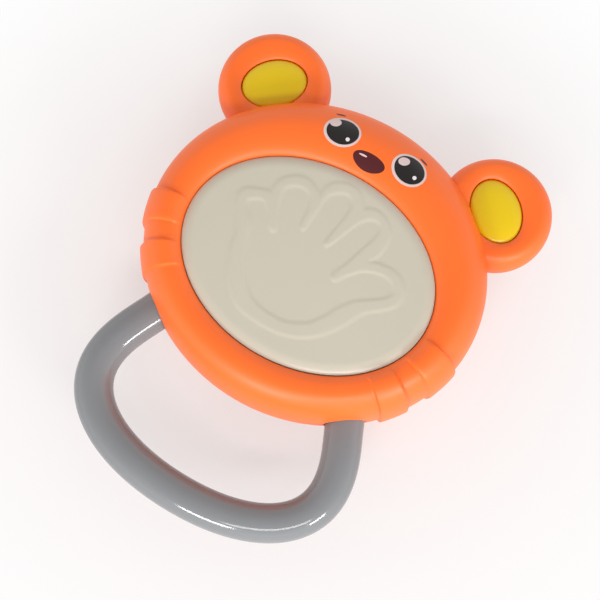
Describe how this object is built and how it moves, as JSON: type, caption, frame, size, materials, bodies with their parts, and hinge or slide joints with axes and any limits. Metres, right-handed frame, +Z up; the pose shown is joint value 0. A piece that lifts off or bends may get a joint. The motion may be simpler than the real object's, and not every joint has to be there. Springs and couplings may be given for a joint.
{
  "type": "toy hand drum",
  "caption": "Baby's hand drum rattle: a bear's head with a sprung drumhead that taps a bead race, an ear button on each side and a loop handle",
  "frame": {"origin": "middle of the bounding box in X and Y, on the plane that the back rests on", "axes": "X from ear to ear, Y from the handle towards the ears, Z up out of the front drumhead"},
  "size_m": [0.1356, 0.1727, 0.0378],
  "materials": {
    "orange_shell": "satin moulded ABS",
    "cream_drumhead": "satin moulded ABS",
    "yellow_button": "polished ABS",
    "grey_handle": "polished ABS",
    "white_inner": "plain moulded ABS",
    "blue_bead": "moulded bead",
    "spring_steel": "zinc-plated wire and screws"
  },
  "bodies": {
    "body": {"front_shell": "orange_shell", "rear_shell": "orange_shell", "rear_drumhead": "cream_drumhead", "sound_tray": "white_inner", "bead_cover": "white_inner", "handle_front_half": "grey_handle", "handle_rear_half": "grey_handle", "drumhead_spring_1": "spring_steel", "drumhead_spring_2": "spring_steel", "drumhead_spring_3": "spring_steel", "drumhead_spring_4": "spring_steel", "ear_spring_left": "spring_steel", "ear_spring_right": "spring_steel", "case_screw_1": "spring_steel", "case_screw_2": "spring_steel", "case_screw_3": "spring_steel", "case_screw_4": "spring_steel", "case_screw_5": "spring_steel", "case_screw_6": "spring_steel", "tray_screw_1": "spring_steel", "tray_screw_2": "spring_steel", "tray_screw_3": "spring_steel", "tray_screw_4": "spring_steel", "cover_screw_1": "spring_steel", "cover_screw_2": "spring_steel"},
    "drum_pad": {"front_drumhead": "cream_drumhead"},
    "left_button": {"ear_button_left": "yellow_button"},
    "right_button": {"ear_button_right": "yellow_button"},
    "bead_1": {"rattle_bead_1": "blue_bead"},
    "bead_2": {"rattle_bead_2": "blue_bead"},
    "bead_3": {"rattle_bead_3": "blue_bead"},
    "bead_4": {"rattle_bead_4": "blue_bead"}
  },
  "joints": [
    {"name": "drumhead_press", "type": "slide", "parent": "body", "child": "drum_pad", "axis": [0, 0, -1], "range_m": [0, 0.002], "stiffness_N_per_m": 600, "springref_m": -0.002, "deforming": ["drumhead_spring_1", "drumhead_spring_2", "drumhead_spring_3", "drumhead_spring_4"]},
    {"name": "left_button_press", "type": "slide", "parent": "body", "child": "left_button", "axis": [0, 0, -1], "range_m": [0, 0.0018], "stiffness_N_per_m": 500, "springref_m": -0.002, "deforming": ["ear_spring_left"]},
    {"name": "right_button_press", "type": "slide", "parent": "body", "child": "right_button", "axis": [0, 0, -1], "range_m": [0, 0.0018], "stiffness_N_per_m": 500, "springref_m": -0.002, "deforming": ["ear_spring_right"]},
    {"name": "bead_1_roll", "type": "hinge", "parent": "body", "child": "bead_1", "pos_m": [0, 0.0116, 0.0166], "axis": [0, 0, 1], "range_deg": [-31, 31]},
    {"name": "bead_2_roll", "type": "hinge", "parent": "body", "child": "bead_2", "pos_m": [0, 0.0116, 0.0166], "axis": [0, 0, 1], "range_deg": [-31, 31]},
    {"name": "bead_3_roll", "type": "hinge", "parent": "body", "child": "bead_3", "pos_m": [0, 0.0116, 0.0166], "axis": [0, 0, 1], "range_deg": [-31, 31]},
    {"name": "bead_4_roll", "type": "hinge", "parent": "body", "child": "bead_4", "pos_m": [0, 0.0116, 0.0166], "axis": [0, 0, 1], "range_deg": [-31, 31]}
  ]
}
